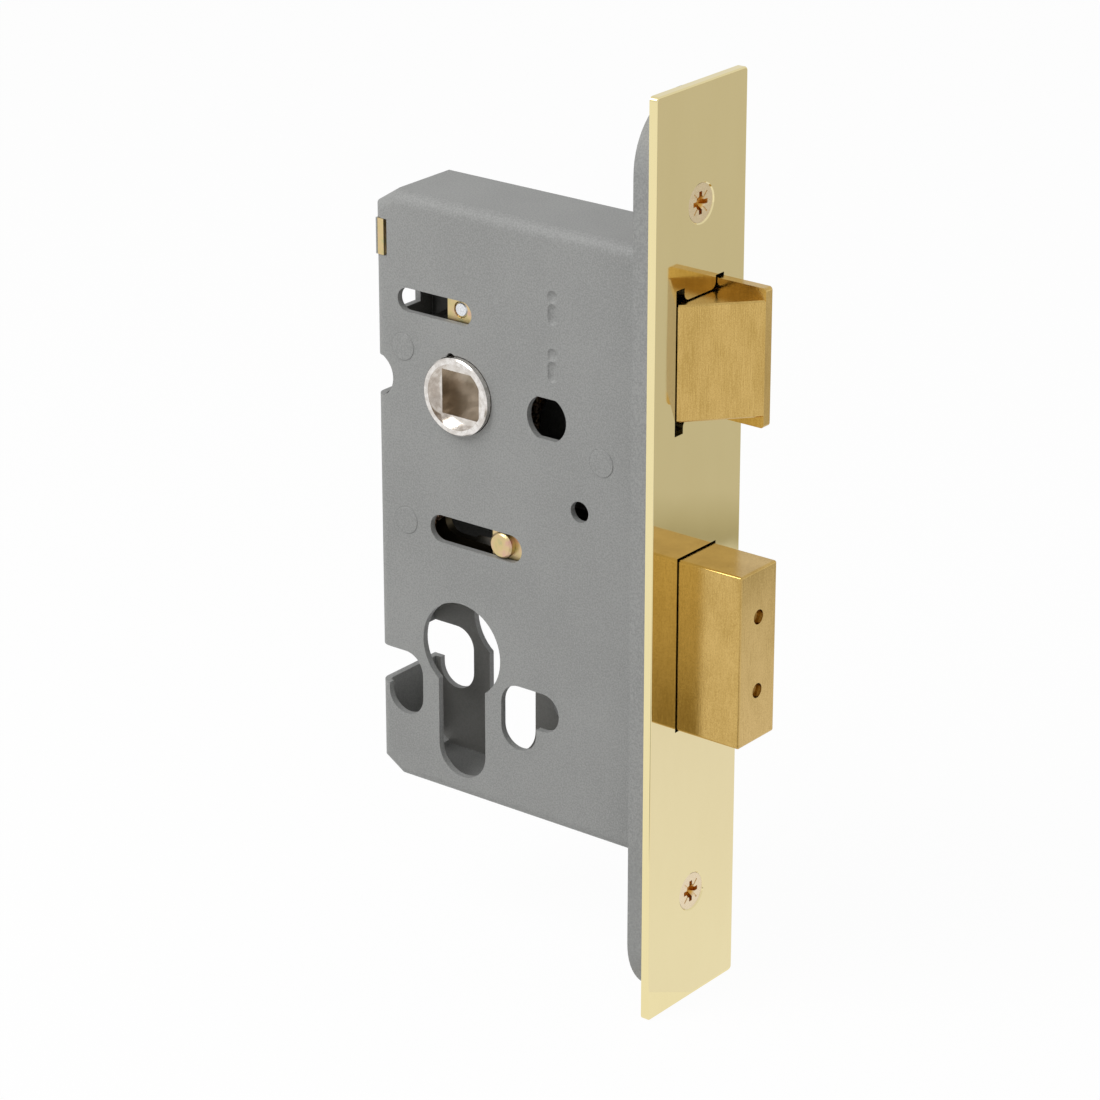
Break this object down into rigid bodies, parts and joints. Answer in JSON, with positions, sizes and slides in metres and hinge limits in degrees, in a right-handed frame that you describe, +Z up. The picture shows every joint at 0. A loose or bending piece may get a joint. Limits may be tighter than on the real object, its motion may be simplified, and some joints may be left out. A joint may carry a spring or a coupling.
{
  "type": "mortise lock",
  "caption": "Mortise sash lock with a bevelled latch, a rectangular deadbolt, a square spindle hub, a euro profile cylinder hole and a screwed brass forend.",
  "frame": {"origin": "centre of the cylinder hole at mid thickness of the case", "axes": "+X out of the forend, +Z up along the forend, -Y towards the case side with the rolled flanges"},
  "size_m": [0.077, 0.025, 0.166],
  "materials": {
    "polished_brass": "polished and lacquered",
    "satin_brass": "linished, fine straight grain",
    "brass_screw": "brass plated",
    "grey_steel": "matte fine texture",
    "yellow_zinc": "yellow passivated zinc plate",
    "bright_steel": "ground",
    "spring_steel": "drawn wire, oiled",
    "nickel": "bright nickel plate",
    "hardened_steel": "ground, recessed"
  },
  "bodies": {
    "root": {"outer_forend": "polished_brass", "inner_forend": "grey_steel", "forend_screws": "brass_screw", "case_body": "grey_steel", "case_cover": "grey_steel", "case_posts": "grey_steel", "lever_post": "grey_steel", "spring_bracket": "yellow_zinc", "latch_spring": "spring_steel", "follower_springs": "spring_steel", "lever_spring": "spring_steel"},
    "latch": {"latch_head": "satin_brass", "latch_carriage": "yellow_zinc", "latch_drive_pin": "bright_steel", "latch_spring_rod": "bright_steel"},
    "follower": {"follower": "nickel"},
    "deadbolt": {"deadbolt_head": "satin_brass", "hardened_pins": "hardened_steel", "deadbolt_tail": "yellow_zinc", "deadbolt_cheek": "yellow_zinc", "tail_rivets": "yellow_zinc", "deadbolt_stump": "yellow_zinc"},
    "lever": {"detent_lever": "yellow_zinc"}
  },
  "joints": [
    {"name": "latch_slide", "type": "slide", "parent": "root", "child": "latch", "axis": [1, 0, 0], "range_m": [-0.01, 0], "stiffness_N_per_m": 300, "springref_m": 0.01, "deforming": ["latch_spring"]},
    {"name": "hub_turn", "type": "hinge", "parent": "root", "child": "follower", "pos_m": [0, 0, 0.0475], "axis": [0, -1, 0], "range_deg": [0, 33.3], "deforming": ["follower_springs"]},
    {"name": "deadbolt_slide", "type": "slide", "parent": "root", "child": "deadbolt", "axis": [1, 0, 0], "range_m": [-0.013, 0]},
    {"name": "lever_drop", "type": "hinge", "parent": "root", "child": "lever", "pos_m": [-0.0122, -0.0026, 0.0216], "axis": [0, -1, 0], "range_deg": [-10, 0], "deforming": ["lever_spring"]}
  ],
  "couplings": [
    {"joint": "hub_turn", "follows": "latch_slide", "rad_per_m": -57.9}
  ]
}
